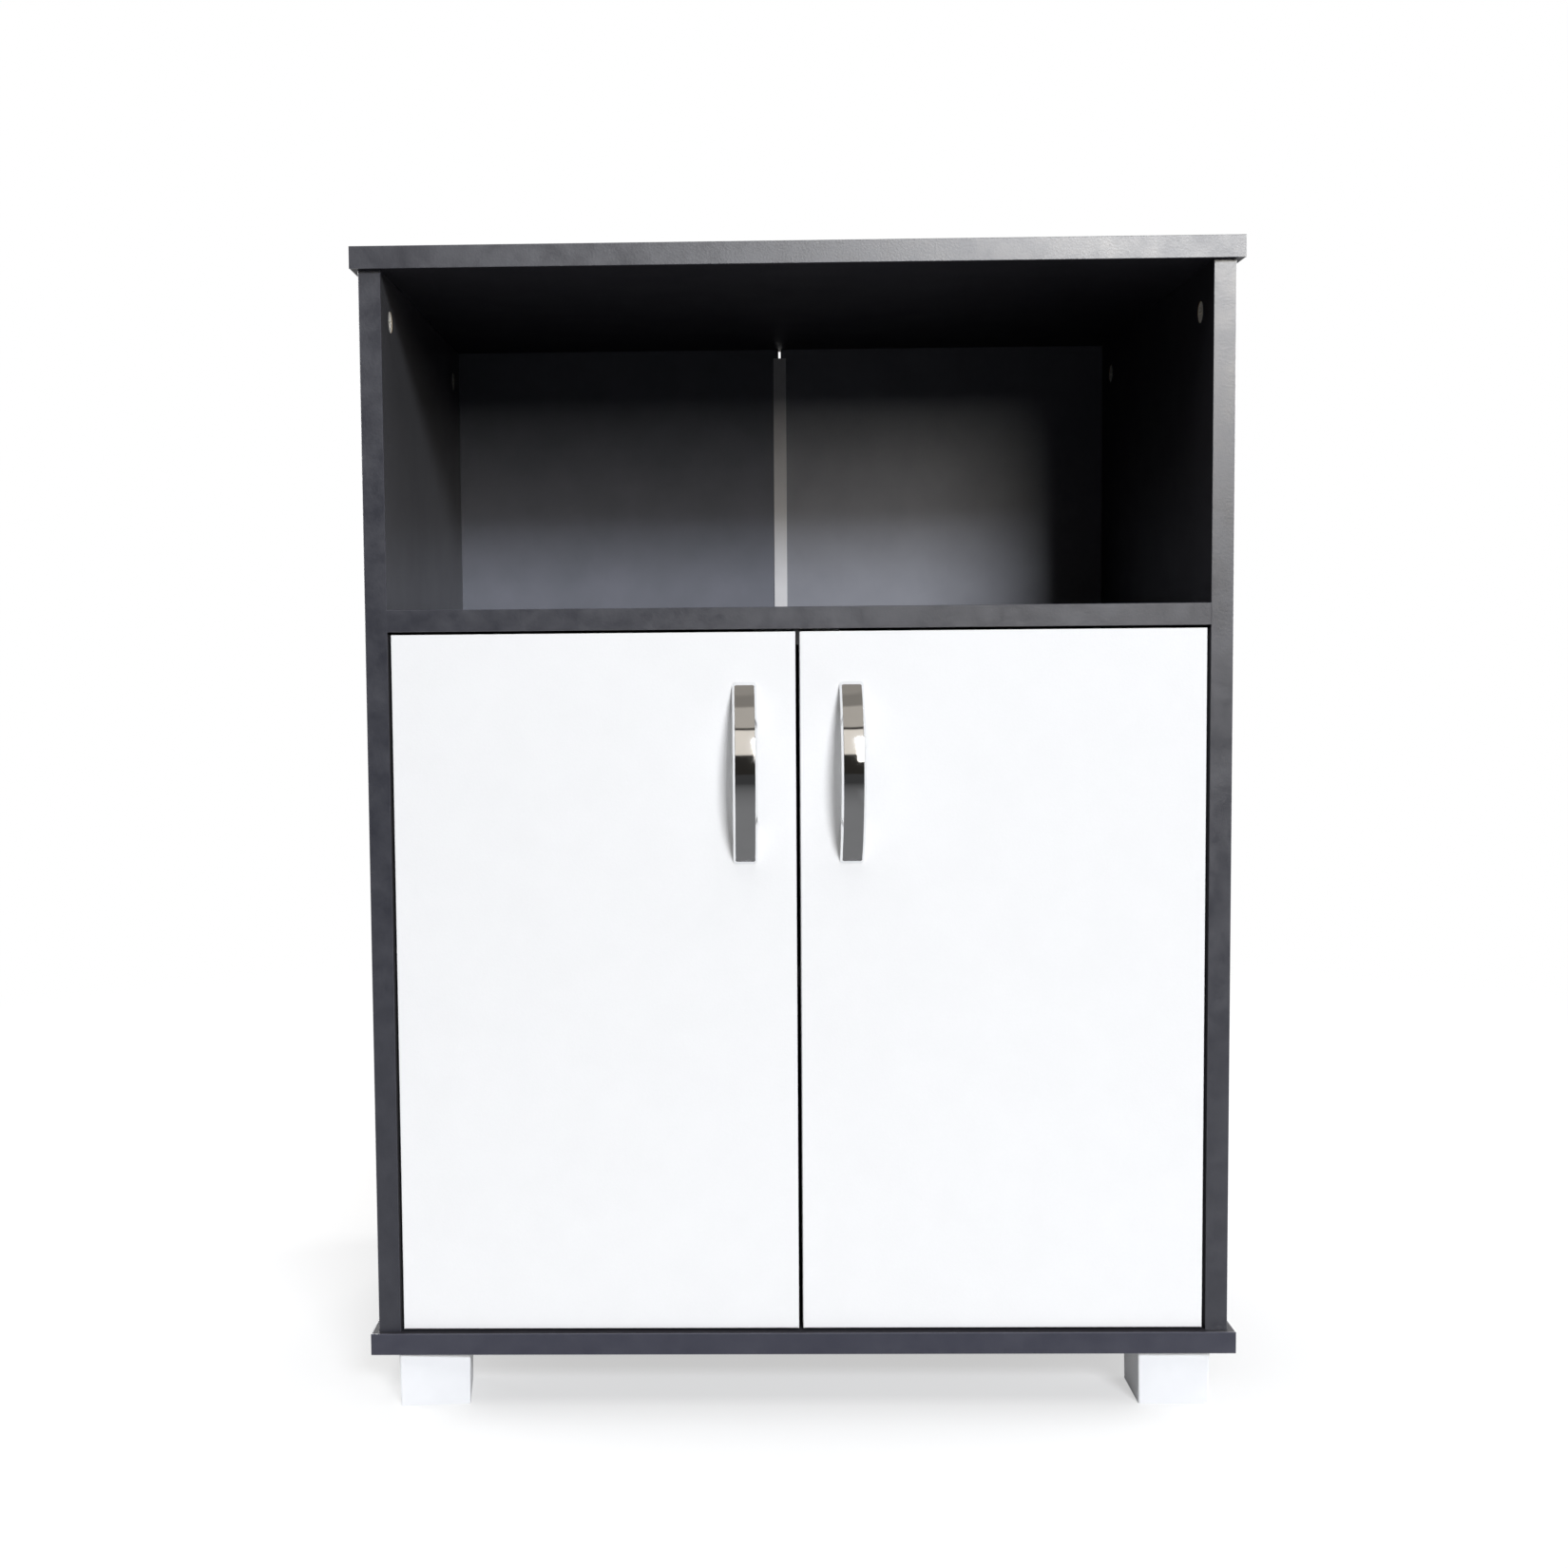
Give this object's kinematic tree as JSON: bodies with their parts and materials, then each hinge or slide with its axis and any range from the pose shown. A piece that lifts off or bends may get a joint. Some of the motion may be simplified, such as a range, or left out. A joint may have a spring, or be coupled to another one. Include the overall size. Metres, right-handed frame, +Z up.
{
  "type": "kitchen base cabinet",
  "caption": "Dark free-standing kitchen base cabinet: open compartment over a cupboard with white inset doors, arched chrome handles and square feet.",
  "frame": {"origin": "on the floor, midway across the width and midway between the handles' fronts and the rear edges", "axes": "+X to the right as seen from the front, +Y from the front to the back, +Z up"},
  "size_m": [0.6, 0.422, 0.8],
  "materials": {
    "anthracite_board": "satin melamine-faced particle board",
    "anthracite_edging": "satin plastic edging",
    "dark_back_board": "satin lacquered hardboard",
    "joining_strip": "extruded white plastic",
    "white_door_board": "smooth white melamine-faced board",
    "white_edging": "white plastic edging",
    "chrome_handle": "polished chrome plate on die-cast zinc",
    "white_foot": "moulded white plastic",
    "zinc_cam": "die-cast zinc, as cast",
    "zinc_plated_screw": "bright zinc-plated steel",
    "nickel_hinge": "nickel-plated steel",
    "steel_plate": "plain steel sheet",
    "beech_dowel": "plain fluted beech",
    "catch_plastic": "light grey moulded plastic",
    "ferrite_magnet": "dark sintered ferrite"
  },
  "bodies": {
    "carcass": {"back_joining_strip": "joining_strip", "bottom_cam_bolts": "zinc_plated_screw", "bottom_cam_locks": "zinc_cam", "bottom_edge_bands": "anthracite_edging", "bottom_panel": "anthracite_board", "catch_housing": "catch_plastic", "catch_magnets": "ferrite_magnet", "catch_pole_plates": "steel_plate", "catch_screws": "zinc_plated_screw", "foot_screws": "zinc_plated_screw", "hinge_arm_screws": "zinc_plated_screw", "inner_shelf": "anthracite_board", "inner_shelf_edge_band": "anthracite_edging", "left_back_board": "dark_back_board", "left_back_foot": "white_foot", "left_front_foot": "white_foot", "left_hinge_arms": "nickel_hinge", "left_mounting_plates": "nickel_hinge", "left_side_edge_band": "anthracite_edging", "left_side_panel": "anthracite_board", "middle_shelf": "anthracite_board", "middle_shelf_cam_bolts": "zinc_plated_screw", "middle_shelf_cam_locks": "zinc_cam", "middle_shelf_edge_band": "anthracite_edging", "mounting_plate_screws": "zinc_plated_screw", "right_back_board": "dark_back_board", "right_back_foot": "white_foot", "right_front_foot": "white_foot", "right_hinge_arms": "nickel_hinge", "right_mounting_plates": "nickel_hinge", "right_side_edge_band": "anthracite_edging", "right_side_panel": "anthracite_board", "shelf_pins": "zinc_plated_screw", "top_cam_bolts": "zinc_plated_screw", "top_cam_locks": "zinc_cam", "top_edge_bands": "anthracite_edging", "top_panel": "anthracite_board", "wooden_dowels": "beech_dowel"},
    "left_leaf": {"left_door": "white_door_board", "left_door_edge_bands": "white_edging", "left_handle": "chrome_handle", "left_handle_screws": "zinc_plated_screw", "left_hinge_cups": "nickel_hinge", "left_hinge_pins": "nickel_hinge", "left_cup_screws": "zinc_plated_screw", "left_strike_plate": "steel_plate", "left_strike_screw": "zinc_plated_screw"},
    "right_leaf": {"right_door": "white_door_board", "right_door_edge_bands": "white_edging", "right_handle": "chrome_handle", "right_handle_screws": "zinc_plated_screw", "right_hinge_cups": "nickel_hinge", "right_hinge_pins": "nickel_hinge", "right_cup_screws": "zinc_plated_screw", "right_strike_plate": "steel_plate", "right_strike_screw": "zinc_plated_screw"}
  },
  "joints": [
    {"name": "left_door_hinge", "type": "hinge", "parent": "carcass", "child": "left_leaf", "pos_m": [-0.267, -0.1775, 0.297], "axis": [0, 0, -1], "range_deg": [0, 95]},
    {"name": "right_door_hinge", "type": "hinge", "parent": "carcass", "child": "right_leaf", "pos_m": [0.267, -0.1775, 0.297], "axis": [0, 0, 1], "range_deg": [0, 95]}
  ]
}
